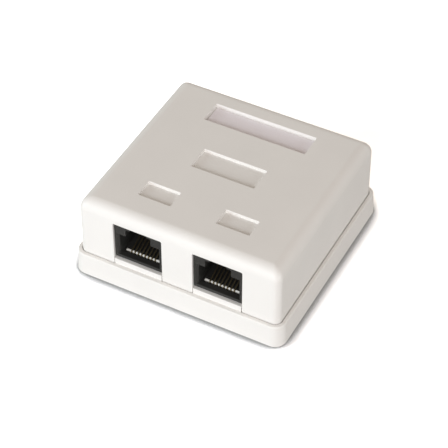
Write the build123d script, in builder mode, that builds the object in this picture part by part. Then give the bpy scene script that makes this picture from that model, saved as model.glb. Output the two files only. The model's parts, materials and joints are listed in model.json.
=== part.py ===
from build123d import *
import os
from math import asin, atan, cos, degrees, hypot, radians, sin, tan

# A surface mount jack box for two eight-way modular jacks. A tray-shaped base holds a circuit board
# with two jacks and four punch-down terminal blocks, and a moulded cover lifts straight up off it.
# X runs across the ports, the ports face -Y, Z is up, and the origin is the middle of the underside.
# All sizes are in millimetres.

os.makedirs("parts", exist_ok=True)

# Driving dimensions of the whole box
box_width = 62.2  # across the foot of the base
box_depth = 60.4  # front to back at the foot of the base
box_height = 25.5
base_height = 7.1  # rim of the base, which is the parting line

# Base
base_lean = 0.33  # how far each base wall leans in between foot and rim
base_corner = 3.3
base_floor = 2.0
rim_width = 1.1  # rim that shows outside the cover
rim_round = 0.45
foot_round = 0.3

# Cover
cover_gap = 0.2  # clearance between the rim and the cover that goes down inside it
cover_depth_in_base = 2.2  # how far the cover's foot goes below the rim
cover_lean = 0.12  # how far each cover wall leans in between rim and top
cover_wall = 1.8
cover_top = 2.4
cover_round = 3.5  # broad round along the top edges
inner_corner = 1.2

# Ports, and the cover's notches for them
port_pitch = 23.4
window_width = 14.4
window_corner = 0.4
sill_top = 8.85  # tab of the base that closes each notch below its jack
sill_thickness = 1.4
sill_gap = 0.15

# Recesses in the top of the cover
recess_corner = 0.3
label_width = 30.4
label_depth = 7.2
label_y = 18.3
label_sink = 1.4
panel_width = 18.7
panel_depth = 7.5
panel_y = 0.25
panel_sink = 0.9
tab_width = 9.6
tab_depth = 5.6
tab_pitch = 22.9
tab_y = -16.7
tab_sink = 0.9

# Label strip and its clear window, in the long recess
label_gap = 0.15
strip_thickness = 0.2
lens_thickness = 0.5

# Snap beads on the base, and the grooves in the cover that they click into
bead_length = 8.0
bead_height = 0.8
bead_bite = 0.25  # how far a bead reaches into the cover's groove
bead_pitch = 30.0
bead_drop = 1.1  # from the rim down to the middle of a bead
groove_gap = 0.15

# Seats for the foot of the cover, inside the base
seat_width = 1.2
seat_pitch_x = 44.0
seat_pitch_y = 36.0

# Knock-out panel scored into the inside of the cover's rear wall
knockout_width = 14.0
knockout_height = 12.8
score_width = 0.8
score_depth = 1.1

# Circuit board
board_thickness = 1.6
board_clear = 5.0  # from the base floor to the underside of the board
board_wall_gap = 0.35  # to the front wall of the cover
board_side_gap = 1.07  # to each side wall of the cover
board_back_margin = 1.3  # behind the rear terminal blocks
board_corner = 1.0
post_size = 3.6
post_inset = 0.8
tail_below = 0.8  # how far solder tails stand out under the board
tail_hole = 0.35  # radius

# Screws that hold the board
screw_radius = 1.1
screw_head_radius = 2.2
screw_head_height = 1.5
screw_length = 5.4
screw_boss_radius = 2.6
screw_gap = 0.06
screw_hole_gap = 0.25
screw_front_inset = 7.92  # from the front edge of the board
cross_width = 0.5
cross_span = 2.4
cross_sink = 0.9

# Jack housing
jack_setback = 0.65  # jack face behind the face of the cover
jack_nose_gap = 0.17
jack_nose_lift = 0.5  # clearance over the sill
jack_window_gap = 0.25  # from the jack up to the top of its notch
jack_headroom = 2.1  # from the jack up to the underside of the cover's top
jack_width = 15.6
jack_length = 15.6
jack_wall_gap = 0.15  # behind the leaning front wall of the cover
jack_edge = 0.25
jack_peg_radius = 1.55
jack_peg_length = 2.4
jack_peg_pitch = 11.43
jack_peg_back = 7.6
jack_peg_gap = 0.15

# Plug opening in the jack
plug_width = 11.7
plug_floor = 1.7  # above the board
plug_roof = 0.5  # what is left of the jack over the catch slot
plug_length = 12.6
lead_in = 0.6
latch_width = 7.4
latch_rise = 2.3
catch_width = 4.9
catch_rise = 0.5

# Contact carrier, with the comb that the contact wires wrap round
carrier_end = 1.086  # beyond the outer wires' pitch
carrier_gap = 0.1
carrier_plate = 0.4
carrier_under = 0.62  # from the board up to the underside of the carrier plate
comb_back = 2.3  # front of the comb behind the jack face
comb_thickness = 0.55
comb_proud = 0.25  # above the floor of the plug opening
comb_slot = 0.44
comb_relief = 0.5
carrier_block = 2.2
carrier_block_height = 6.8

# Contact wires
wire_count = 8
wire_pitch = 1.016
wire_width = 0.36
wire_thickness = 0.3
wire_reach = 9.8  # length of the sprung end
wire_bend = 0.75
wire_tail_bend = 0.45
wire_tail_row = 2.54
wire_tail_back = 11.2

# Punch-down terminal blocks and their forked contacts
block_ways = 4
block_pitch = 3.8
block_end = 0.6  # beyond the outer contacts' pitch
block_depth = 8.2
block_headroom = 2.5  # from a block up to the underside of the cover's top
block_jack_gap = 2.82
block_row_gap = 2.0
block_shoulder = 4.6
block_slope = 1.2  # height and depth of the slope over each shoulder
wire_slot = 1.3
wire_slot_floor = 5.4  # above the board
slot_mouth = 1.1
slot_mouth_depth = 1.3
fork_width = 3.0
fork_thickness = 0.5
fork_drop = 2.0  # below the top of the block
fork_slot = 0.35
fork_slot_depth = 4.6
fork_mouth = 0.9
fork_tail = 0.8
fork_lift = 0.8
fork_gap = 0.12
fork_hole = 0.6  # radius

# Cable entry, wall screw slots and cable tie bar in the base floor
entry_width = 17.0
entry_depth = 10.4
entry_wall_gap = 2.87  # to the rear wall of the base
entry_corner = 2.0
slot_width = 4.2
slot_length = 8.0
slot_pitch = 40.0
slot_wall_gap = 5.97  # to the rear wall of the base
tie_bar_entry_gap = 3.5  # to the side of the cable entry
tie_bar_length = 9.0
tie_bar_width = 2.4
tie_bar_gap = 1.8
tie_bar_thickness = 1.4
tie_foot = 1.6

# Heights and faces that follow from the sizes above
base_taper = degrees(atan(base_lean / base_height))
rim_half_x = box_width / 2 - base_lean
rim_half_y = box_depth / 2 - base_lean
tray_width = 2 * (rim_half_x - rim_width)
tray_depth = 2 * (rim_half_y - rim_width)
tray_corner = base_corner - rim_width
cover_corner = tray_corner - cover_gap  # round of the upright edges, so the gap is even all round

cover_foot = base_height - cover_depth_in_base
cover_taper = degrees(atan(cover_lean / (box_height - base_height)))
foot_flare = cover_depth_in_base * tan(radians(cover_taper))
cover_width = tray_width - 2 * cover_gap
cover_depth = tray_depth - 2 * cover_gap
cover_front = -cover_depth / 2
cover_inner_front = cover_front + cover_wall
cover_ceiling = box_height - cover_top

entry_y = tray_depth / 2 - entry_wall_gap - entry_depth / 2
slot_y = tray_depth / 2 - slot_wall_gap - slot_width / 2
tie_bar_x = -entry_width / 2 - tie_bar_entry_gap - tie_bar_width / 2

board_bottom = base_floor + board_clear
board_top = board_bottom + board_thickness
jack_height = cover_ceiling - jack_headroom - board_top
window_top = board_top + jack_height + jack_window_gap
jack_face = cover_front + jack_setback
jack_back = jack_face + jack_length
jack_body_front = cover_inner_front + cover_lean + jack_wall_gap
jack_nose_width = window_width - 2 * jack_nose_gap
plug_z = board_top + plug_floor
plug_height = jack_height - plug_floor - latch_rise - catch_rise - plug_roof
comb_front = jack_face + comb_back
plate_bottom = board_top + carrier_under
comb_top = plug_z + comb_proud
carrier_width = wire_pitch * wire_count + 2 * carrier_end
port_xs = {"left": -port_pitch / 2, "right": port_pitch / 2}

block_width = block_pitch * block_ways + 2 * block_end
block_height = cover_ceiling - block_headroom - board_top
block_tip = block_depth / 2 - block_slope
block_front_y = jack_back + block_jack_gap + block_depth / 2
block_ys = {"front": block_front_y, "rear": block_front_y + block_depth + block_row_gap}
wire_slot_depth = block_height - wire_slot_floor
fork_height = block_height - fork_drop - fork_lift

board_front = cover_inner_front + board_wall_gap
board_back = block_ys["rear"] + block_depth / 2 + board_back_margin
board_depth = board_back - board_front
board_width = cover_width - 2 * cover_wall - 2 * board_side_gap
board_y = board_front + board_depth / 2
screw_ys = {
    "front": board_front + screw_front_inset,
    "rear": (block_ys["front"] + block_ys["rear"]) / 2,
}
screw_spots = [(0, y) for y in screw_ys.values()]
tails_down = board_bottom - tail_below
label_floor = box_height - label_sink

# Places of the solder tails: the wires' tails stand in two staggered rows behind each other
tail_ys = [
    jack_face + wire_tail_back,
    jack_face + wire_tail_back - wire_tail_row,
]
wire_offsets = [wire_pitch * (i - (wire_count - 1) / 2) for i in range(wire_count)]
fork_offsets = [block_pitch * (i - (block_ways - 1) / 2) for i in range(block_ways)]

# Base: a shallow tray with leaning walls, a rounded shoulder and a flat rim
with BuildPart() as base:
    with BuildSketch():
        Rectangle(box_width, box_depth)
    extrude(amount=base_height, taper=base_taper)
    corners = base.edges().filter_by(lambda e: abs(e.tangent_at(0.5).Z) > 0.9)
    fillet(corners, radius=base_corner)
    fillet(base.faces().sort_by(Axis.Z)[-1].edges(), radius=rim_round)
    fillet(base.faces().sort_by(Axis.Z)[0].edges(), radius=foot_round)
    with BuildSketch(Plane.XY.offset(base_floor)):
        RectangleRounded(tray_width, tray_depth, tray_corner)
    extrude(amount=base_height - base_floor, mode=Mode.SUBTRACT)

    # Seats that the foot of the cover stands on
    seat_reach = cover_gap + cover_wall
    seat_y = tray_depth / 2 - seat_reach / 2
    seat_x = tray_width / 2 - seat_reach / 2
    with BuildSketch(Plane.XY.offset(base_floor)):
        with Locations((0, seat_y), (0, -seat_y)):
            with GridLocations(seat_pitch_x / 2, 0, 3, 1):
                Rectangle(seat_width, seat_reach)
        with Locations((seat_x, 0), (-seat_x, 0)):
            with GridLocations(0, seat_pitch_y / 2, 1, 3):
                Rectangle(seat_reach, seat_width)
    extrude(amount=cover_foot - base_floor)

    # Sills: tabs that fill the cover's notches below the jacks
    sill_back = cover_front + sill_thickness
    sill_span = sill_back + tray_depth / 2
    with BuildSketch(Plane.XY.offset(base_floor)):
        with Locations((0, -tray_depth / 2 + sill_span / 2)):
            with GridLocations(port_pitch, 0, 2, 1):
                Rectangle(window_width - 2 * sill_gap, sill_span)
    extrude(amount=base_height - base_floor)
    with BuildSketch(Plane.XY.offset(base_height)):
        with Locations((0, cover_front + sill_thickness / 2)):
            with GridLocations(port_pitch, 0, 2, 1):
                Rectangle(window_width - 2 * sill_gap, sill_thickness)
    extrude(amount=sill_top - base_height)

    # Snap beads on the inside of the two side walls
    bead_z = base_height - bead_drop
    bead_reach = cover_gap + bead_bite
    bead_end = tray_width / 2 - bead_reach
    for side in (1, -1):
        wall_x = side * tray_width / 2
        end_x = side * bead_end
        for spot in (bead_pitch / 2, -bead_pitch / 2):
            with BuildSketch(Plane.XZ.offset(-spot)):
                with BuildLine():
                    Polyline(
                        (wall_x, bead_z - bead_height / 2),
                        (wall_x, bead_z + bead_height / 2),
                        (end_x, bead_z + bead_height / 6),
                        (end_x, bead_z - bead_height / 6),
                        close=True,
                    )
                make_face()
            extrude(amount=bead_length / 2, both=True)

    # Posts under the four corners of the board
    post_x = board_width / 2 - post_inset - post_size / 2
    post_y = board_depth / 2 - post_inset - post_size / 2
    with BuildSketch(Plane.XY.offset(base_floor)):
        with Locations((0, board_y)):
            with GridLocations(2 * post_x, 2 * post_y, 2, 2):
                Rectangle(post_size, post_size)
    extrude(amount=board_clear)

    # Bosses for the board screws
    with BuildSketch(Plane.XY.offset(base_floor)):
        with Locations(*screw_spots):
            Circle(screw_boss_radius)
            Circle(screw_radius + screw_gap, mode=Mode.SUBTRACT)
    extrude(amount=board_clear)

    # Cable entry and wall screw slots, through the floor
    with BuildSketch():
        with Locations((0, entry_y)):
            RectangleRounded(entry_width, entry_depth, entry_corner)
        with Locations((slot_pitch / 2, slot_y), (-slot_pitch / 2, slot_y)):
            SlotOverall(slot_length, slot_width)
    extrude(amount=base_floor, mode=Mode.SUBTRACT)

    # Bar for a cable tie, on two feet
    with BuildSketch(Plane.XY.offset(base_floor)):
        with Locations((tie_bar_x, entry_y)):
            with GridLocations(0, tie_bar_length - tie_foot, 1, 2):
                Rectangle(tie_bar_width, tie_foot)
    extrude(amount=tie_bar_gap + tie_bar_thickness)
    with BuildSketch(Plane.XY.offset(base_floor + tie_bar_gap)):
        with Locations((tie_bar_x, entry_y)):
            Rectangle(tie_bar_width, tie_bar_length)
    extrude(amount=tie_bar_thickness)
base.part.label = "base"
export_step(base.part, "parts/base.step")

# Cover: a drafted shell, rounded on every outer edge, that drops inside the rim of the base
with BuildPart() as cover:
    with BuildSketch(Plane.XY.offset(cover_foot)):
        Rectangle(cover_width + 2 * foot_flare, cover_depth + 2 * foot_flare)
    extrude(amount=box_height - cover_foot, taper=cover_taper)
    corners = cover.edges().filter_by(lambda e: abs(e.tangent_at(0.5).Z) > 0.9)
    fillet(corners, radius=cover_corner)
    fillet(cover.faces().sort_by(Axis.Z)[-1].edges(), radius=cover_round)

    # Hollow
    inner_width = cover_width + 2 * foot_flare - 2 * cover_wall
    inner_depth = cover_depth + 2 * foot_flare - 2 * cover_wall
    with BuildSketch(Plane.XY.offset(cover_foot)):
        RectangleRounded(inner_width, inner_depth, inner_corner)
    extrude(amount=box_height - cover_top - cover_foot, taper=cover_taper, mode=Mode.SUBTRACT)

    # Notches for the jacks, open at the foot
    notch_reach = foot_flare + cover_wall + cover_lean + jack_wall_gap
    window_height = window_top - cover_foot
    with BuildSketch(Plane.XZ.offset(cover_depth / 2 + foot_flare)) as notch:
        with Locations((0, cover_foot + window_height / 2)):
            with GridLocations(port_pitch, 0, 2, 1):
                Rectangle(window_width, window_height)
        fillet(notch.vertices().group_by(Axis.Y)[-1], radius=window_corner)
    extrude(amount=-notch_reach, mode=Mode.SUBTRACT)

    # Recesses in the top
    with BuildSketch(Plane.XY.offset(box_height)):
        with Locations((0, label_y)):
            RectangleRounded(label_width, label_depth, recess_corner)
    extrude(amount=-label_sink, mode=Mode.SUBTRACT)
    with BuildSketch(Plane.XY.offset(box_height)):
        with Locations((0, panel_y)):
            RectangleRounded(panel_width, panel_depth, recess_corner)
    extrude(amount=-panel_sink, mode=Mode.SUBTRACT)
    with BuildSketch(Plane.XY.offset(box_height)):
        with Locations((0, tab_y)):
            with GridLocations(tab_pitch, 0, 2, 1):
                RectangleRounded(tab_width, tab_depth, recess_corner)
    extrude(amount=-tab_sink, mode=Mode.SUBTRACT)

    # Grooves in the outside of the side walls, for the snap beads
    groove_height = bead_height + 2 * groove_gap
    groove_depth = bead_bite + groove_gap + foot_flare
    groove_x = cover_width / 2 + foot_flare - groove_depth / 2
    with BuildSketch(Plane.XY.offset(bead_z - groove_height / 2)):
        with GridLocations(2 * groove_x, bead_pitch, 2, 2):
            Rectangle(groove_depth, bead_length + 2 * groove_gap)
    extrude(amount=groove_height, mode=Mode.SUBTRACT)

    # Score lines of the knock-out panel, inside the rear wall
    inner_back = inner_depth / 2
    with BuildSketch(Plane.XZ.offset(-inner_back)) as score:
        with Locations((0, cover_foot + knockout_height / 2)):
            Rectangle(knockout_width, knockout_height)
        with Locations((0, cover_foot + (knockout_height - score_width) / 2)):
            Rectangle(
                knockout_width - 2 * score_width, knockout_height - score_width, mode=Mode.SUBTRACT
            )
    extrude(amount=-score_depth, mode=Mode.SUBTRACT)
cover.part.label = "cover"
export_step(cover.part, "parts/cover.step")

# Label strip and its clear window, loose in the long recess with a small gap all round
with BuildPart() as label_strip:
    with BuildSketch(Plane.XY.offset(label_floor)):
        with Locations((0, label_y)):
            Rectangle(label_width - 4 * label_gap, label_depth - 4 * label_gap)
    extrude(amount=strip_thickness)
label_strip.part.label = "label_strip"
export_step(label_strip.part, "parts/label_strip.step")

with BuildPart() as label_window:
    with BuildSketch(Plane.XY.offset(label_floor + strip_thickness)):
        with Locations((0, label_y)):
            RectangleRounded(label_width - 2 * label_gap, label_depth - 2 * label_gap, recess_corner)
    extrude(amount=lens_thickness)
label_window.part.label = "label_window"
export_step(label_window.part, "parts/label_window.step")

# Circuit board, with holes for the screws, the jacks' pegs and every solder tail
with BuildPart() as circuit_board:
    with BuildSketch(Plane.XY.offset(board_bottom)):
        with Locations((0, board_y)):
            RectangleRounded(board_width, board_depth, board_corner)
        with Locations(*screw_spots):
            Circle(screw_radius + screw_hole_gap, mode=Mode.SUBTRACT)
        for port_x in port_xs.values():
            with Locations((port_x, jack_face + jack_peg_back)):
                with GridLocations(jack_peg_pitch, 0, 2, 1):
                    Circle(jack_peg_radius + jack_peg_gap, mode=Mode.SUBTRACT)
            wire_spots = [(port_x + x, tail_ys[i % 2]) for i, x in enumerate(wire_offsets)]
            with Locations(*wire_spots):
                Circle(tail_hole, mode=Mode.SUBTRACT)
            fork_spots = [(port_x + x, y) for x in fork_offsets for y in block_ys.values()]
            with Locations(*fork_spots):
                Circle(fork_hole, mode=Mode.SUBTRACT)
    extrude(amount=board_thickness)
circuit_board.part.label = "circuit_board"
export_step(circuit_board.part, "parts/circuit_board.step")

# Board screws: a domed head with a cross recess, a shank and a point
dome_rise = screw_head_height / 2
dome_radius = (screw_head_radius**2 + dome_rise**2) / (2 * dome_rise)
for spot, screw_y in screw_ys.items():
    with BuildPart() as board_screw:
        with BuildSketch(Plane.XZ.offset(-screw_y)):
            with BuildLine():
                Polyline(
                    (0, board_top - screw_length),
                    (screw_radius, board_top - screw_length + screw_radius),
                    (screw_radius, board_top),
                    (screw_head_radius, board_top),
                    (screw_head_radius, board_top + screw_head_height / 2),
                )
                RadiusArc(
                    (screw_head_radius, board_top + screw_head_height / 2),
                    (0, board_top + screw_head_height),
                    -dome_radius,
                )
                Line((0, board_top + screw_head_height), (0, board_top - screw_length))
            make_face()
        revolve(axis=Axis((0, screw_y, 0), (0, 0, 1)))
        with BuildSketch(Plane.XY.offset(board_top + screw_head_height)):
            with Locations((0, screw_y)):
                Rectangle(cross_width, cross_span)
                Rectangle(cross_span, cross_width)
        extrude(amount=-cross_sink, mode=Mode.SUBTRACT)
    board_screw.part.label = f"board_screw_{spot}"
    export_step(board_screw.part, f"parts/board_screw_{spot}.step")

# Jack housing: a nose that shows in the cover's notch, a wider body behind it, and two pegs
for side, port_x in port_xs.items():
    with BuildPart() as jack:
        body_length = jack_back - jack_body_front
        with BuildSketch(Plane.XY.offset(board_top)):
            with Locations((port_x, jack_body_front + body_length / 2)):
                Rectangle(jack_width, body_length)
        extrude(amount=jack_height)
        nose_depth = jack_body_front - jack_face
        nose_bottom = sill_top + jack_nose_lift
        with BuildSketch(Plane.XY.offset(nose_bottom)):
            with Locations((port_x, jack_face + nose_depth / 2)):
                Rectangle(jack_nose_width, nose_depth)
        extrude(amount=board_top + jack_height - nose_bottom)
        upright = jack.edges().filter_by(Axis.Z)
        chamfer(upright.group_by(Axis.Y)[-1], length=jack_edge)

        # Plug opening: wide below for the plug, stepped above for its latch
        with BuildSketch(Plane.XZ.offset(-jack_face)) as opening:
            with Locations((port_x, plug_z + plug_height / 2)):
                Rectangle(plug_width, plug_height)
            with Locations((port_x, plug_z + plug_height + latch_rise / 2)):
                Rectangle(latch_width, latch_rise)
            with Locations((port_x, plug_z + plug_height + latch_rise + catch_rise / 2)):
                Rectangle(catch_width, catch_rise)
        extrude(amount=-plug_length, mode=Mode.SUBTRACT)

        # Lead-in round the plug opening
        with BuildSketch(Plane.XZ.offset(-jack_face)):
            with Locations((port_x, plug_z + plug_height / 2)):
                Rectangle(plug_width + 2 * lead_in, plug_height)
        with BuildSketch(Plane.XZ.offset(-jack_face - lead_in)):
            with Locations((port_x, plug_z + plug_height / 2)):
                Rectangle(plug_width, plug_height)
        loft(mode=Mode.SUBTRACT)

        # Slot through the floor for the comb, and a channel under the floor for the carrier
        channel_front = comb_front - comb_relief
        channel_width = carrier_width + 2 * carrier_gap
        comb_slot_depth = comb_relief + comb_thickness + comb_relief
        with BuildSketch(Plane.XY.offset(board_top)):
            with Locations((port_x, channel_front + comb_slot_depth / 2)):
                Rectangle(channel_width, comb_slot_depth)
        extrude(amount=plug_floor, mode=Mode.SUBTRACT)
        with BuildSketch(Plane.XY.offset(board_top)):
            with Locations((port_x, (channel_front + jack_back) / 2)):
                Rectangle(channel_width, jack_back - channel_front)
        extrude(amount=carrier_under + carrier_plate, mode=Mode.SUBTRACT)

        # Pocket at the back for the block of the carrier
        pocket_depth = carrier_block + carrier_gap
        with BuildSketch(Plane.XY.offset(board_top)):
            with Locations((port_x, jack_back - pocket_depth / 2)):
                Rectangle(channel_width, pocket_depth)
        extrude(amount=carrier_block_height + carrier_gap, mode=Mode.SUBTRACT)

        # Pegs that locate the jack in the board
        with BuildSketch(Plane.XY.offset(board_top)):
            with Locations((port_x, jack_face + jack_peg_back)):
                with GridLocations(jack_peg_pitch, 0, 2, 1):
                    Circle(jack_peg_radius)
        extrude(amount=-jack_peg_length)
        chamfer(jack.faces().sort_by(Axis.Z)[0:2].edges(), length=jack_edge)
    jack.part.label = f"jack_{side}"
    export_step(jack.part, f"parts/jack_{side}.step")

    # Contact carrier: a plate under the floor, a comb at its front and a block at its back
    with BuildPart() as carrier:
        with BuildSketch(Plane.XY.offset(plate_bottom)):
            with Locations((port_x, (comb_front + jack_back) / 2)):
                Rectangle(carrier_width, jack_back - comb_front)
        extrude(amount=carrier_plate)
        with BuildSketch(Plane.XY.offset(plate_bottom)):
            with Locations((port_x, comb_front + comb_thickness / 2)):
                Rectangle(carrier_width, comb_thickness)
        extrude(amount=comb_top - plate_bottom)
        with BuildSketch(Plane.XY.offset(plate_bottom)):
            with Locations((port_x, jack_back - carrier_block / 2)):
                Rectangle(carrier_width, carrier_block)
        extrude(amount=board_top + carrier_block_height - plate_bottom)
        slot_reach = comb_thickness + comb_relief
        with BuildSketch(Plane.XY.offset(plate_bottom)):
            with Locations((port_x, comb_front + slot_reach / 2)):
                with GridLocations(wire_pitch, 0, wire_count, 1):
                    Rectangle(comb_slot, slot_reach)
        extrude(amount=comb_top - plate_bottom, mode=Mode.SUBTRACT)
    carrier.part.label = f"contact_carrier_{side}"
    export_step(carrier.part, f"parts/contact_carrier_{side}.step")

    # Contact wires: each runs forward under the carrier, turns up through the comb and springs back
    with BuildPart() as wires:
        run_z = plate_bottom - wire_thickness / 2
        bend_y = comb_front + wire_bend - wire_thickness / 2
        bend_z = run_z + wire_bend
        tip_z = plug_z + plug_height / 2
        rise = asin((tip_z - bend_z) / hypot(wire_reach, wire_bend)) - atan(wire_bend / wire_reach)
        turn_end = (bend_y - wire_bend * sin(rise), bend_z + wire_bend * cos(rise))
        spring_end = (turn_end[0] + wire_reach * cos(rise), turn_end[1] + wire_reach * sin(rise))
        for i, offset_x in enumerate(wire_offsets):
            tail_y = tail_ys[i % 2]
            strip_plane = Plane.YZ.offset(port_x + offset_x - wire_width / 2)
            with BuildSketch(strip_plane):
                with BuildLine():
                    Line((tail_y, tails_down), (tail_y, run_z - wire_tail_bend))
                    RadiusArc(
                        (tail_y, run_z - wire_tail_bend), (tail_y - wire_tail_bend, run_z), -wire_tail_bend
                    )
                    Line((tail_y - wire_tail_bend, run_z), (bend_y, run_z))
                    ThreePointArc((bend_y, run_z), (bend_y - wire_bend, bend_z), turn_end)
                    Line(turn_end, spring_end)
                trace(line_width=wire_thickness)
            extrude(amount=wire_width)
    wires.part.label = f"contact_wires_{side}"
    export_step(wires.part, f"parts/contact_wires_{side}.step")

    # Terminal blocks: a row of fins with wire slots between them, and a shoulder at each side
    for row, block_y in block_ys.items():
        block_top = board_top + block_height
        half_width = block_width / 2
        with BuildPart() as block:
            with BuildSketch(Plane.YZ.offset(port_x - half_width)):
                with BuildLine():
                    Polyline(
                        (block_y - block_depth / 2, board_top),
                        (block_y + block_depth / 2, board_top),
                        (block_y + block_depth / 2, board_top + block_shoulder),
                        (block_y + block_tip, board_top + block_shoulder + block_slope),
                        (block_y + block_tip, block_top),
                        (block_y - block_tip, block_top),
                        (block_y - block_tip, board_top + block_shoulder + block_slope),
                        (block_y - block_depth / 2, board_top + block_shoulder),
                        close=True,
                    )
                make_face()
            extrude(amount=block_width)

            # Wire slots with a flared mouth
            with BuildSketch(Plane.XZ.offset(-block_y)):
                for offset_x in fork_offsets:
                    slot_x = port_x + offset_x
                    with BuildLine():
                        Polyline(
                            (slot_x - wire_slot / 2, block_top - wire_slot_depth),
                            (slot_x + wire_slot / 2, block_top - wire_slot_depth),
                            (slot_x + wire_slot / 2, block_top - slot_mouth_depth),
                            (slot_x + slot_mouth, block_top),
                            (slot_x - slot_mouth, block_top),
                            (slot_x - wire_slot / 2, block_top - slot_mouth_depth),
                            close=True,
                        )
                    make_face()
            extrude(amount=block_tip, both=True, mode=Mode.SUBTRACT)

            # Slits that hold the forked contacts, and holes for their tails
            with BuildSketch(Plane.XY.offset(board_top + fork_lift)):
                with Locations((port_x, block_y)):
                    with GridLocations(block_pitch, 0, block_ways, 1):
                        Rectangle(fork_width + 2 * fork_gap, fork_thickness + 2 * fork_gap)
            extrude(amount=block_height - fork_lift, mode=Mode.SUBTRACT)
            with BuildSketch(Plane.XY.offset(board_top)):
                with Locations((port_x, block_y)):
                    with GridLocations(block_pitch, 0, block_ways, 1):
                        Rectangle(fork_tail + 2 * fork_gap, fork_thickness + 2 * fork_gap)
            extrude(amount=fork_lift, mode=Mode.SUBTRACT)
        block.part.label = f"terminal_block_{side}_{row}"
        export_step(block.part, f"parts/terminal_block_{side}_{row}.step")

        # Forked contacts: flat blades with a slot that cuts into the wire, and a solder tail
        fork_bottom = board_top + fork_lift
        fork_top = fork_bottom + fork_height
        with BuildPart() as forks:
            with BuildSketch(Plane.XZ.offset(-block_y)):
                for offset_x in fork_offsets:
                    blade_x = port_x + offset_x
                    with BuildLine():
                        Polyline(
                            (blade_x - fork_tail / 2, tails_down),
                            (blade_x + fork_tail / 2, tails_down),
                            (blade_x + fork_tail / 2, fork_bottom),
                            (blade_x + fork_width / 2, fork_bottom),
                            (blade_x + fork_width / 2, fork_top),
                            (blade_x + fork_mouth / 2, fork_top),
                            (blade_x + fork_slot / 2, fork_top - fork_mouth),
                            (blade_x + fork_slot / 2, fork_top - fork_slot_depth),
                            (blade_x - fork_slot / 2, fork_top - fork_slot_depth),
                            (blade_x - fork_slot / 2, fork_top - fork_mouth),
                            (blade_x - fork_mouth / 2, fork_top),
                            (blade_x - fork_width / 2, fork_top),
                            (blade_x - fork_width / 2, fork_bottom),
                            (blade_x - fork_tail / 2, fork_bottom),
                            close=True,
                        )
                    make_face()
            extrude(amount=fork_thickness / 2, both=True)
        forks.part.label = f"terminal_contacts_{side}_{row}"
        export_step(forks.part, f"parts/terminal_contacts_{side}_{row}.step")
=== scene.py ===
# %% [markdown]
# A surface mount jack box. It is a small white wall box that ends a network cable: two black
# eight-way jacks look out of its front, and punch-down blocks inside take the cable's cores.
# The solids come in as a fixed frame. This script only dresses them, so every piece starts
# from what the frame says.

import json
import math

import bmesh
import bpy
from mathutils import Matrix, Vector


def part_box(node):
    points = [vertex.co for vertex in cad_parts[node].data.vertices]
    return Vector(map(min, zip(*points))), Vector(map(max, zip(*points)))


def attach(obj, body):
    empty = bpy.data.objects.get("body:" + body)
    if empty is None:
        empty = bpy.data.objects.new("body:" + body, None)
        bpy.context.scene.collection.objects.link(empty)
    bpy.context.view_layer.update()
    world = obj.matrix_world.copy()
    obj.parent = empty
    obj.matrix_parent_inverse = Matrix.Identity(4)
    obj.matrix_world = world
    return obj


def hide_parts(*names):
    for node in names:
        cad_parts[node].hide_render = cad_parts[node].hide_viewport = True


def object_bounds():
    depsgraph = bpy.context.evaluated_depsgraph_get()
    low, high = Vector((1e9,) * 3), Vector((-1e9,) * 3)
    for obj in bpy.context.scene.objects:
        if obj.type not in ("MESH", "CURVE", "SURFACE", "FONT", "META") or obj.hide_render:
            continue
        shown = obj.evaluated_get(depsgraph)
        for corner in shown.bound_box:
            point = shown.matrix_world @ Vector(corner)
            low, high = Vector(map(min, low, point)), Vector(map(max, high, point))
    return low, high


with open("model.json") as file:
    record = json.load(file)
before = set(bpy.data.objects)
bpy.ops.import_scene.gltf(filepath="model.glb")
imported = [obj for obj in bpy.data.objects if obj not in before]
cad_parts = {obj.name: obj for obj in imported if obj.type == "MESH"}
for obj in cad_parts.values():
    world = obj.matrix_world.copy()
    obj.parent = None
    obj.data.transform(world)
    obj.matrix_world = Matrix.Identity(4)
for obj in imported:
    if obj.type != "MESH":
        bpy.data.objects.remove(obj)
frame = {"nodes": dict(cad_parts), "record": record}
cad_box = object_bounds()
mm = 0.001
box_size = cad_box[1] - cad_box[0]
print("nodes", len(frame["nodes"]), "box in mm", [round(v / mm, 2) for v in box_size])

# %% [markdown]
# The camera stands in front of the box, a little to its right and well above it. A long lens
# keeps the sides almost parallel, as a product photographer would. It is aimed by one point,
# two angles and a distance, because these can be read and changed one at a time.

# %% Camera
look_at = Vector((-0.645, -1.317, 6.018)) * mm
camera_azimuth = math.radians(27.908)
camera_elevation = math.radians(44.507)
camera_distance = 448.125 * mm
sensor = 36.0
focal_pixels = 1651.762
frame_pixels = 448
clip_near, clip_far = 0.01, 20.0

backwards = Vector((
    math.sin(camera_azimuth) * math.cos(camera_elevation),
    -math.cos(camera_azimuth) * math.cos(camera_elevation),
    math.sin(camera_elevation),
))
camera = bpy.data.objects.new("camera", bpy.data.cameras.new("camera"))
camera.data.sensor_width = sensor
camera.data.lens = focal_pixels * sensor / frame_pixels
camera.data.clip_start = clip_near
camera.data.clip_end = clip_far
camera.location = look_at + backwards * camera_distance
camera.rotation_mode = "QUATERNION"
camera.rotation_quaternion = (-backwards).to_track_quat("-Z", "Y")
bpy.context.scene.collection.objects.link(camera)
bpy.context.scene.camera = camera
bpy.context.scene.view_settings.view_transform = "Standard"
print("lens in mm", round(camera.data.lens, 2))

# %% [markdown]
# Materials are small graphs of nodes. The helpers below keep them short: one starts a material
# with its shader, and the others add a node and join it up. Patterns read Object coordinates,
# which are metres here, so the size of a pattern is a real size on the plastic.

# %% Helpers for materials
def add_node(material, kind, **settings):
    node = material.node_tree.nodes.new("ShaderNode" + kind)
    for name, value in settings.items():
        setattr(node, name, value)
    return node


def start_material(name, roughness, metallic=0.0):
    material = bpy.data.materials.new(name)
    material.use_nodes = True
    shader = material.node_tree.nodes["Principled BSDF"]
    shader.inputs["Roughness"].default_value = roughness
    shader.inputs["Metallic"].default_value = metallic
    return material, shader


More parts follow.
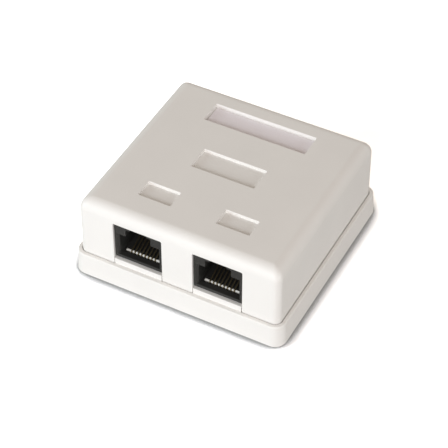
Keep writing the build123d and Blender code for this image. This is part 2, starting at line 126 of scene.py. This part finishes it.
def pattern_place(material, stretch=(1, 1, 1)):
    coordinates = add_node(material, "TexCoord")
    mapping = add_node(material, "Mapping")
    mapping.inputs["Scale"].default_value = stretch
    material.node_tree.links.new(coordinates.outputs["Object"], mapping.inputs["Vector"])
    return mapping.outputs["Vector"]


def add_noise(material, place, size, detail=3.0):
    noise = add_node(material, "TexNoise")
    noise.inputs["Scale"].default_value = 1 / size
    noise.inputs["Detail"].default_value = detail
    material.node_tree.links.new(place, noise.inputs["Vector"])
    return noise.outputs["Fac"]


def color_by(material, shader, value, stops):
    ramp = add_node(material, "ValToRGB")
    for element, (position, color) in zip(ramp.color_ramp.elements, stops):
        element.position, element.color = position, color
    links = material.node_tree.links
    links.new(value, ramp.inputs["Fac"])
    links.new(ramp.outputs["Color"], shader.inputs["Base Color"])


def add_bump(material, shader, height, depth):
    bump = add_node(material, "Bump")
    bump.inputs["Distance"].default_value = depth
    bump.inputs["Strength"].default_value = 1.0
    links = material.node_tree.links
    links.new(height, bump.inputs["Height"])
    links.new(bump.outputs["Normal"], shader.inputs["Normal"])


def add_range(material, value, low, high):
    spread = add_node(material, "MapRange")
    spread.inputs["To Min"].default_value = low
    spread.inputs["To Max"].default_value = high
    material.node_tree.links.new(value, spread.inputs["Value"])
    return spread.outputs["Result"]


def shade_of(color, factor):
    return tuple(c * factor for c in color) + (1.0,)


print("helpers ready")

# %% [markdown]
# The housing is white ABS, a touch warm, with the fine satin grain that a spark-eroded mould
# leaves. The grain is noise of about a third of a millimetre used as a very shallow bump. A
# second, broad noise shifts the colour by a hundredth or so, as a real batch of plastic does.

# %% Housing plastic
cloud_size = 14 * mm
grain_gloss = 0.06


def moulded_plastic(name, color, roughness, grain_size, grain_depth, colour_shift=0.015):
    material, shader = start_material(name, roughness)
    place = pattern_place(material)
    clouds = add_noise(material, place, size=cloud_size, detail=2.0)
    tones = [(0.3, shade_of(color, 1 - colour_shift)), (0.7, shade_of(color, 1 + colour_shift))]
    color_by(material, shader, clouds, tones)
    grain = add_noise(material, place, size=grain_size, detail=4.0)
    gloss = add_range(material, grain, roughness - grain_gloss, roughness + grain_gloss)
    material.node_tree.links.new(gloss, shader.inputs["Roughness"])
    add_bump(material, shader, grain, grain_depth)
    return material, shader


finishes = {}
housing_color = (0.80, 0.775, 0.745)
finishes["housing"], shader = moulded_plastic(
    "housing", housing_color, 0.46, 0.35 * mm, 0.006 * mm)
shader.inputs["IOR"].default_value = 1.5
print("housing", housing_color)

# %% [markdown]
# The jacks are black glass-filled nylon: darker and a little smoother than the housing, with
# coarser speckle where fibres reach the skin. The fibres also break up its gloss, so it
# reflects half of what a plain plastic does and stays black inside.

# %% Jack plastic
jack_color = (0.030, 0.029, 0.027)
jack_reflection = 0.25
finishes["jack_body"], shader = moulded_plastic(
    "jack_body", jack_color, 0.36, 0.18 * mm, 0.008 * mm, 0.15)
shader.inputs["Specular IOR Level"].default_value = jack_reflection
print("jack", jack_color)

# %% [markdown]
# The contact carrier is natural, undyed nylon, and the terminal blocks are grey-white
# polycarbonate. Both are plain moulded plastics, so the same recipe serves with other numbers.

# %% Light plastics inside
finishes["contact_carrier"], shader = moulded_plastic(
    "contact_carrier", (0.68, 0.67, 0.63), 0.42, 0.15 * mm, 0.004 * mm)
finishes["terminal_block"], shader = moulded_plastic(
    "terminal_block", (0.62, 0.62, 0.58), 0.40, 0.22 * mm, 0.005 * mm, 0.03)
print("light plastics done")

# %% [markdown]
# Drawn and stamped metal shows fine lines along its length, and its gloss varies with them.
# The lines are noise with another scale along one axis. The wires are thin gold over nickel,
# but their colour is made far darker than gold: a painted shade that stands for the shadow
# inside the jacks. The forks are tin. The screws are zinc, with an even grain.

# %% Metals
line_dark, line_light = 0.88, 1.04
line_smooth, line_rough = 0.08, 0.1


def lined_metal(name, color, roughness, stretch, line_size, line_depth):
    material, shader = start_material(name, roughness, metallic=1.0)
    place = pattern_place(material, stretch)
    lines = add_noise(material, place, size=line_size, detail=5.0)
    tones = [(0.3, shade_of(color, line_dark)), (0.7, shade_of(color, line_light))]
    color_by(material, shader, lines, tones)
    gloss = add_range(material, lines, roughness - line_smooth, roughness + line_rough)
    material.node_tree.links.new(gloss, shader.inputs["Roughness"])
    add_bump(material, shader, lines, line_depth)
    return material


# The wire colour is painted shade: darkened well below gold to stand for the shadow in the
# jacks.
finishes["contact_wire"] = lined_metal(
    "contact_wire", (0.10, 0.08, 0.048), 0.5, (6, 1, 1), 0.3 * mm, 0.002 * mm)
finishes["terminal_contact"] = lined_metal(
    "terminal_contact", (0.72, 0.71, 0.68), 0.32, (1, 1, 0.15), 0.2 * mm, 0.003 * mm)
finishes["screw"] = lined_metal(
    "screw", (0.66, 0.67, 0.68), 0.30, (1, 1, 1), 0.25 * mm, 0.004 * mm)
print("metals done")

# %% [markdown]
# The board is glass-fibre laminate under green solder resist. The weave of the glass shows
# faintly through the resist: two sets of waves at right angles, about 3 mm apart, multiplied.

# %% Board
weave_scale = 100
finishes["board"], shader = start_material("board", 0.28)
board_links = finishes["board"].node_tree.links
board_place = pattern_place(finishes["board"])
weave = []
for direction in ("X", "Y"):
    wave = add_node(finishes["board"], "TexWave", wave_type="BANDS", bands_direction=direction)
    wave.inputs["Scale"].default_value = weave_scale
    board_links.new(board_place, wave.inputs["Vector"])
    weave.append(wave.outputs["Fac"])
crossing = add_node(finishes["board"], "Math", operation="MULTIPLY")
board_links.new(weave[0], crossing.inputs[0])
board_links.new(weave[1], crossing.inputs[1])
resist_tones = [(0.0, (0.012, 0.105, 0.042, 1)), (1.0, (0.018, 0.145, 0.058, 1))]
color_by(finishes["board"], shader, crossing.outputs[0], resist_tones)
add_bump(finishes["board"], shader, crossing.outputs[0], 0.004 * mm)
print("board done")

# %% [markdown]
# The label is a strip of matt, faintly lilac paper under a clear window. The window is thin
# polystyrene. Glass-like transmission would shade the paper, because light that bends through
# a surface isn't followed back to the lamps, so the window is almost wholly see-through by
# its alpha and keeps its gloss.

# %% Label paper and window
finishes["label_paper"], shader = start_material("label_paper", 0.85)
paper_place = pattern_place(finishes["label_paper"])
fibres = add_noise(finishes["label_paper"], paper_place, size=0.12 * mm, detail=6.0)
paper_tones = [(0.25, (0.90, 0.86, 0.89, 1)), (0.75, (0.93, 0.89, 0.92, 1))]
color_by(finishes["label_paper"], shader, fibres, paper_tones)
add_bump(finishes["label_paper"], shader, fibres, 0.006 * mm)

window_alpha = 0.05
finishes["label_window"], shader = start_material("label_window", 0.12)
window_place = pattern_place(finishes["label_window"])
ripple = add_noise(finishes["label_window"], window_place, size=5 * mm, detail=1.0)
window_tones = [(0.3, (0.80, 0.76, 0.79, 1)), (0.7, (0.84, 0.80, 0.83, 1))]
color_by(finishes["label_window"], shader, ripple, window_tones)
add_bump(finishes["label_window"], shader, ripple, 0.02 * mm)
shader.inputs["Alpha"].default_value = window_alpha
print("label done")

# %% [markdown]
# A moulded or stamped edge is never perfectly sharp: it catches a thin line of light. The
# solids have sharp edges, so each visible piece is remade from its node. The loose triangles
# are merged, flat areas become single faces, every sharp edge gets a tiny rounding, and the
# shading is weighted by area so that flat walls stay flat. The comb in each jack is rounder
# than the rest: the contact wires bend round its teeth, and only the tips catch the light.
# Where two roundings could meet, Blender makes all those of the piece smaller. The cover's
# edges lie far enough apart, so they are rounded in full.

# %% Remake the nodes with softened edges
bodies_of = frame["record"]["behaviour"]["bodies"]
body_of_node = {node: body for body, nodes in bodies_of.items() for node in nodes}
slot_of_node = {part["node"]: part["material_slot"] for part in frame["record"]["subparts"]}
merge_distance = 0.0002 * mm
flat_angle = math.radians(0.3)
sharp_angle = math.radians(28)
comb_depth = 0.7 * mm
comb_round = 0.18 * mm
comb_segments = 3
edge_segments = 2
wall_weight = 80
roomy_nodes = {"cover"}


def round_edges(work, edges, radius, segments, clamp=True):
    bmesh.ops.bevel(
        work, geom=edges, offset=radius, offset_type="OFFSET", affect="EDGES",
        segments=segments, profile=0.5, material=-1, clamp_overlap=clamp,
    )


def round_comb(work):
    front = min(v.co.y for v in work.verts)
    comb = [v for v in work.verts if v.co.y < front + comb_depth]
    top = max(v.co.z for v in comb)
    tips = {v for v in comb if v.co.z > top - merge_distance}
    edges = [e for e in work.edges if e.verts[0] in tips and e.verts[1] in tips]
    round_edges(work, edges, comb_round, comb_segments)


def soften(node, radius):
    mesh = bpy.data.meshes.new(f"{node}_soft")
    work = bmesh.new()
    work.from_mesh(frame["nodes"][node].data)
    bmesh.ops.remove_doubles(work, verts=work.verts, dist=merge_distance)
    bmesh.ops.dissolve_limit(work, angle_limit=flat_angle, verts=work.verts, edges=work.edges)
    if slot_of_node[node] == "contact_carrier":
        round_comb(work)
    edges = [e for e in work.edges if e.is_manifold and e.calc_face_angle(0) > sharp_angle]
    round_edges(work, edges, radius, edge_segments, clamp=node not in roomy_nodes)
    for face in work.faces:
        face.smooth = True
        face.material_index = 0
    work.to_mesh(mesh)
    work.free()
    mesh.materials.append(finishes[slot_of_node[node]])
    piece = bpy.data.objects.new(f"{node}_soft", mesh)
    bpy.context.scene.collection.objects.link(piece)
    weights = piece.modifiers.new("flat_walls", "WEIGHTED_NORMAL")
    weights.mode = "FACE_AREA"
    weights.weight = wall_weight
    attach(piece, body_of_node[node])
    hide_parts(node)
    return piece


edge_radius = {
    "housing": 0.15, "jack_body": 0.08, "contact_carrier": 0.04, "contact_wire": 0.05,
    "terminal_block": 0.08, "terminal_contact": 0.05, "screw": 0.05, "board": 0.05,
    "label_paper": 0.02, "label_window": 0.06,
}
softened = {}
for node, slot in slot_of_node.items():
    softened[node] = soften(node, edge_radius[slot] * mm)
    print(node, "faces", len(softened[node].data.polygons))

# %% [markdown]
# In the solids the window lies flat on the paper. Two faces in one place can't both be seen:
# half the light would start inside the paper and leave it dark. A real window has a thin film
# of air under it, so its underside is lifted by a hair.

# %% Air under the label window
air_film = 0.04 * mm
window_low, window_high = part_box("label_window")
window_middle = (window_low.z + window_high.z) / 2
window_mesh = softened["label_window"].data
work = bmesh.new()
work.from_mesh(window_mesh)
underside = [v for v in work.verts if v.co.z < window_middle]
bmesh.ops.translate(work, vec=(0, 0, air_film), verts=underside)
work.to_mesh(window_mesh)
work.free()
print("window underside points lifted", len(underside))

# %% [markdown]
# The next pieces are thin print and copper. They all start as one flat shape that gets a
# thickness, so one helper finishes them: it thickens the shape, turns its faces outwards,
# sets its underside on a height if one is given, and lets it ride on a body.

# %% Helper for thin pieces
def finish_thin(name, work, thickness, material, body, underside=None):
    bmesh.ops.solidify(work, geom=work.faces[:], thickness=thickness)
    bmesh.ops.recalc_face_normals(work, faces=work.faces[:])
    if underside is not None:
        lowest = min(v.co.z for v in work.verts)
        bmesh.ops.translate(work, vec=(0, 0, underside - lowest), verts=work.verts[:])
    mesh = bpy.data.meshes.new(name)
    work.to_mesh(mesh)
    work.free()
    mesh.materials.append(material)
    piece = bpy.data.objects.new(name, mesh)
    bpy.context.scene.collection.objects.link(piece)
    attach(piece, body)
    print(name, "faces", len(mesh.polygons))


def printed_ink(name, color):
    material, shader = start_material(name, 0.5)
    place = pattern_place(material)
    mottle = add_noise(material, place, size=0.25 * mm, detail=3.0)
    tones = [(0.3, shade_of(color, 0.93)), (0.7, shade_of(color, 1.03))]
    color_by(material, shader, mottle, tones)
    add_bump(material, shader, mottle, 0.004 * mm)
    return material


print("thin pieces ready")

# %% [markdown]
# Copper tracks run from each jack to the contacts behind it. Four end at the front block, two
# pass under it, and the outer two go round it to the rear block. Under the green resist they
# show as paler ridges. Each is one edge, drawn out run by run along the board. A route lists
# its corners, each with the millimetres off the jack's middle and the place along the board.

# %% Board tracks
port_middles = {}
for side in ("left", "right"):
    jack_low, jack_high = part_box(f"jack_{side}")
    port_middles[side] = (jack_low.x + jack_high.x) / 2
board_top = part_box("circuit_board")[1].z
jack_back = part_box("jack_left")[1].y
block_boxes = {row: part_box(f"terminal_block_left_{row}") for row in ("front", "rear")}
front_row_start, front_row_end = block_boxes["front"][0].y, block_boxes["front"][1].y
rear_row_start = block_boxes["rear"][0].y
track_width = 0.45 * mm
track_height = 0.035 * mm
hidden = 0.4 * mm

first_bend = jack_back + 0.35 * mm
track_routes = [
    [(0.6, jack_back - hidden), (0.6, rear_row_start + hidden)],
    [(1.9, jack_back - hidden), (1.9, front_row_start + hidden)],
    [(4.4, jack_back - hidden), (4.4, first_bend), (5.7, first_bend + 1.3 * mm),
     (5.7, front_row_start + hidden)],
    [(6.6, jack_back - hidden), (6.6, first_bend), (8.8, first_bend + 2.2 * mm),
     (8.8, front_row_end - 0.2 * mm), (6.9, front_row_end + 1.7 * mm),
     (6.9, rear_row_start + hidden)],
]
tracks = bmesh.new()
for middle in port_middles.values():
    for hand in (-1, 1):
        for route in track_routes:
            across, along = route[0]
            centre = middle + hand * across * mm
            pair = [tracks.verts.new((centre + half * track_width, along, board_top))
                    for half in (-0.5, 0.5)]
            edge = tracks.edges.new(pair)
            for next_across, next_along in route[1:]:
                grown = bmesh.ops.extrude_edge_only(tracks, edges=[edge])["geom"]
                moved = [item for item in grown if isinstance(item, bmesh.types.BMVert)]
                step = (hand * (next_across - across) * mm, next_along - along, 0)
                bmesh.ops.translate(tracks, vec=step, verts=moved)
                edge = [item for item in grown if isinstance(item, bmesh.types.BMEdge)
                        and item.verts[0] in moved and item.verts[1] in moved][0]
                across, along = next_across, next_along

resist_over_copper, shader = start_material("resist_over_copper", 0.26)
copper_place = pattern_place(resist_over_copper)
copper_grain = add_noise(resist_over_copper, copper_place, size=0.4 * mm, detail=3.0)
copper_tones = [(0.3, (0.035, 0.235, 0.075, 1)), (0.7, (0.045, 0.27, 0.09, 1))]
color_by(resist_over_copper, shader, copper_grain, copper_tones)
add_bump(resist_over_copper, shader, copper_grain, 0.003 * mm)
finish_thin("board_tracks", tracks, track_height, resist_over_copper, "base", board_top)

# %% [markdown]
# A board maker prints a thin white line round each part, to show the assembler where it goes.
# Here there is a frame round each block and a ring round each screw. A grid or a circle gives
# the flat shape, an inset leaves its border, and the middle is taken out.

# %% Printed outlines
outline_width = 0.17 * mm
outline_gap = 0.32 * mm
outline_height = 0.05 * mm
outlines = bmesh.new()
for node, slot in slot_of_node.items():
    if slot not in ("terminal_block", "screw"):
        continue
    low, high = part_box(node)
    middle = Vector(((low.x + high.x) / 2, (low.y + high.y) / 2, board_top))
    if slot == "terminal_block":
        shape = bmesh.ops.create_grid(outlines, x_segments=1, y_segments=1, size=0.5)
    else:
        shape = bmesh.ops.create_circle(outlines, cap_ends=True, segments=40, radius=0.5)
    fresh = shape["verts"]
    spread = (high.x - low.x + 2 * outline_gap, high.y - low.y + 2 * outline_gap, 1)
    bmesh.ops.scale(outlines, vec=spread, verts=fresh)
    bmesh.ops.translate(outlines, vec=middle, verts=fresh)
    flat = list({face for v in fresh for face in v.link_faces})
    bmesh.ops.inset_region(
        outlines, faces=flat, thickness=outline_width, use_boundary=True, use_even_offset=True)
    bmesh.ops.delete(outlines, geom=flat, context="FACES")
outline_ink = printed_ink("outline_ink", (0.80, 0.80, 0.77))
finish_thin("printed_outlines", outlines, outline_height, outline_ink, "base", board_top)

# %% [markdown]
# The blocks carry colour marks on both shoulders, one for each core of the cable. The first
# core of a pair has a white mark with a bar of the pair's colour, and the second a full mark.
# Each mark is a small grid laid on the slope, and every colour is one piece with one ink.

# %% Colour marks on the blocks
mark_width = 2.7 * mm
mark_depth = 1.15 * mm
bar_depth = 0.38 * mm
mark_lift = 0.015 * mm
bar_lift = 0.045 * mm
ink_height = 0.03 * mm
shoulder_height = 4.6 * mm
shoulder_slope = 1.2 * mm
core_places = [-5.7 * mm, -1.9 * mm, 1.9 * mm, 5.7 * mm]
pair_colors = {"front": ("blue", "orange"), "rear": ("green", "brown")}
inks = {
    "white": (0.82, 0.82, 0.80), "blue": (0.03, 0.12, 0.48), "orange": (0.80, 0.23, 0.03),
    "green": (0.03, 0.30, 0.10), "brown": (0.20, 0.085, 0.035),
}
marks = {color: bmesh.new() for color in inks}


def lay_mark(work, x, shoulder_y, facing, depth, lift):
    fresh = bmesh.ops.create_grid(work, x_segments=1, y_segments=1, size=0.5)["verts"]
    bmesh.ops.scale(work, vec=(mark_width, depth, 1), verts=fresh)
    tilt = Matrix.Rotation(-facing * math.radians(45), 3, "X")
    bmesh.ops.rotate(work, cent=(0, 0, 0), matrix=tilt, verts=fresh)
    outwards = Vector((0, facing, 1)).normalized()
    slope_middle = Vector((x, shoulder_y, board_top + shoulder_height + shoulder_slope / 2))
    bmesh.ops.translate(work, vec=slope_middle + outwards * lift, verts=fresh)


for side, middle in port_middles.items():
    for row, colors in pair_colors.items():
        low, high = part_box(f"terminal_block_{side}_{row}")
        for facing, edge_y in ((-1, low.y), (1, high.y)):
            shoulder_y = edge_y - facing * shoulder_slope / 2
            for place, core_x in enumerate(core_places):
                color = colors[place // 2]
                spot = (middle + core_x, shoulder_y, facing)
                if place % 2:
                    lay_mark(marks[color], *spot, mark_depth, mark_lift)
                else:
                    lay_mark(marks["white"], *spot, mark_depth, mark_lift)
                    lay_mark(marks[color], *spot, bar_depth, bar_lift)
for color, work in marks.items():
    ink = printed_ink(f"ink_{color}", inks[color])
    finish_thin(f"core_marks_{color}", work, ink_height, ink, "base")

# %% [markdown]
# The pins that push a moulding out of its mould leave round prints on its hidden side. Each
# is a disc with a lower ring round it, a few hundredths of a millimetre high. The cover has
# its prints under the top, and the base has them on its floor behind the board.

# %% Ejector prints
pin_radius = 1.5 * mm
ring_width = 0.14 * mm
print_height = 0.03 * mm
print_lift = 0.02 * mm
top_thickness = 2.4 * mm
floor_thickness = 2.0 * mm
cover_prints = [(-21, -8), (21, -8), (-21, 20), (21, 20), (0, -19), (0, 8)]
base_prints = [(12.3, 20.7), (0, 12.9), (-22, 13.6), (22, 13.6)]


def ejector_prints(name, body, places, height, facing):
    work = bmesh.new()
    for x, y in places:
        shape = bmesh.ops.create_circle(work, cap_ends=True, segments=36, radius=pin_radius)
        fresh = shape["verts"]
        bmesh.ops.translate(work, vec=(x * mm, y * mm, height), verts=fresh)
        disc = list({face for v in fresh for face in v.link_faces})
        bmesh.ops.inset_region(
            work, faces=disc, thickness=ring_width, use_boundary=True, use_even_offset=True)
        raised = list({v for face in disc for v in face.verts})
        bmesh.ops.translate(work, vec=(0, 0, facing * print_height), verts=raised)
    finish_thin(name, work, print_height, finishes["housing"], body)


cover_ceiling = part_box("cover")[1].z - top_thickness
base_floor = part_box("base")[0].z + floor_thickness
ejector_prints("ejector_prints_cover", "cover", cover_prints, cover_ceiling - print_lift, -1)
ejector_prints("ejector_prints_base", "base", base_prints, base_floor + print_lift, 1)

# %% [markdown]
# The box stands on a plain pale floor. The camera sees floor and backdrop as white, by the
# colour of the floor and of the world and not by more light. Every other ray sees an ordinary
# pale floor, so the box gets a real amount of bounce. Right at the foot, where light hardly
# gets in, an Ambient Occlusion node paints a shadow into the floor colour that the camera sees,
# so the foot keeps its shadow. It is worked out from the shapes, so it follows them in every
# pose.

# %% Floor and world
floor_reach = 3.0
floor_seen = 2.6
foot_seen = 0.127 * floor_seen
floor_bounce = 0.68
floor_tint = (0.985, 1.0, 1.025)
foot_reach = 6.0 * mm
foot_openness = 0.5
sky_light = 0.30
sky_color = (1.18, 1.0, 0.84)

floor_mesh = bpy.data.meshes.new("floor")
work = bmesh.new()
bmesh.ops.create_grid(work, x_segments=1, y_segments=1, size=floor_reach)
work.to_mesh(floor_mesh)
work.free()
floor = bpy.data.objects.new("floor", floor_mesh)
bpy.context.scene.collection.objects.link(floor)

floor_material, shader = start_material("floor", 1.0)
floor_links = floor_material.node_tree.links
shader.inputs["Specular IOR Level"].default_value = 0.0
light_path = add_node(floor_material, "LightPath")
floor_tone = add_node(floor_material, "Mix", data_type="RGBA")
floor_tone.inputs["A"].default_value = (floor_bounce,) * 3 + (1,)
# Painted shadow: the Ambient Occlusion node darkens the camera-seen floor colour at the foot.
painted_foot_shadow = add_node(floor_material, "AmbientOcclusion", samples=8)
painted_foot_shadow.inputs["Distance"].default_value = foot_reach
seen_tone = add_range(floor_material, painted_foot_shadow.outputs["AO"], foot_seen, floor_seen)
seen_tone.node.inputs["From Min"].default_value = foot_openness
seen_tone.node.interpolation_type = "SMOOTHERSTEP"
tinted = add_node(floor_material, "VectorMath", operation="SCALE")
tinted.inputs[0].default_value = floor_tint
floor_links.new(seen_tone, tinted.inputs["Scale"])
floor_links.new(tinted.outputs["Vector"], floor_tone.inputs["B"])
floor_links.new(light_path.outputs["Is Camera Ray"], floor_tone.inputs["Factor"])
floor_links.new(floor_tone.outputs["Result"], shader.inputs["Base Color"])
floor_mesh.materials.append(floor_material)

world = bpy.data.worlds.new("studio")
bpy.context.scene.world = world
world.use_nodes = True
world_links = world.node_tree.links
background = world.node_tree.nodes["Background"]
seen_by = add_node(world, "LightPath")
camera_or_glossy = add_node(world, "Math", operation="MAXIMUM")
seen_white = add_node(world, "Math", operation="MAXIMUM")
sky_tone = add_node(world, "Mix", data_type="RGBA")
sky_tone.inputs["A"].default_value = shade_of(sky_color, sky_light)
sky_tone.inputs["B"].default_value = (1, 1, 1, 1)
world_links.new(seen_by.outputs["Is Camera Ray"], camera_or_glossy.inputs[0])
world_links.new(seen_by.outputs["Is Glossy Ray"], camera_or_glossy.inputs[1])
world_links.new(camera_or_glossy.outputs[0], seen_white.inputs[0])
world_links.new(seen_by.outputs["Is Transmission Ray"], seen_white.inputs[1])
world_links.new(seen_white.outputs[0], sky_tone.inputs["Factor"])
world_links.new(sky_tone.outputs["Result"], background.inputs["Color"])
background.inputs["Strength"].default_value = 1.0
print("floor and world done")

# %% [markdown]
# Four soft boxes stand round the box, as in a small photo tent. The front one and the left
# one together make the front wall nearly white and leave the top grey. The left one is small,
# so the recesses keep a crisp shadow along one edge. The ones at the right and at the back
# are weaker: they lift the walls that turn away from the camera.

# %% Soft boxes
lamp_distance = 0.9


def soft_box(name, direction, size, watts, color):
    lamp = bpy.data.lights.new(name, "AREA")
    lamp.shape = "SQUARE"
    lamp.size = size
    lamp.energy = watts
    lamp.color = color
    towards = Vector(direction).normalized()
    holder = bpy.data.objects.new(name, lamp)
    holder.location = look_at + towards * lamp_distance
    holder.rotation_mode = "QUATERNION"
    holder.rotation_quaternion = (-towards).to_track_quat("-Z", "Y")
    bpy.context.scene.collection.objects.link(holder)
    print(name, "lamp, watts", lamp.energy)


soft_box("front", (0.05, -0.90, 0.40), 0.50, 4.35, (0.98, 0.99, 1.03))
soft_box("left", (-0.75, -0.62, 0.22), 0.25, 3.20, (0.87, 1.03, 1.10))
soft_box("right", (0.95, -0.25, 0.15), 0.50, 3.20, (0.94, 1.01, 1.05))
soft_box("back", (-0.35, 0.85, 0.30), 0.50, 1.20, (0.94, 1.02, 1.02))
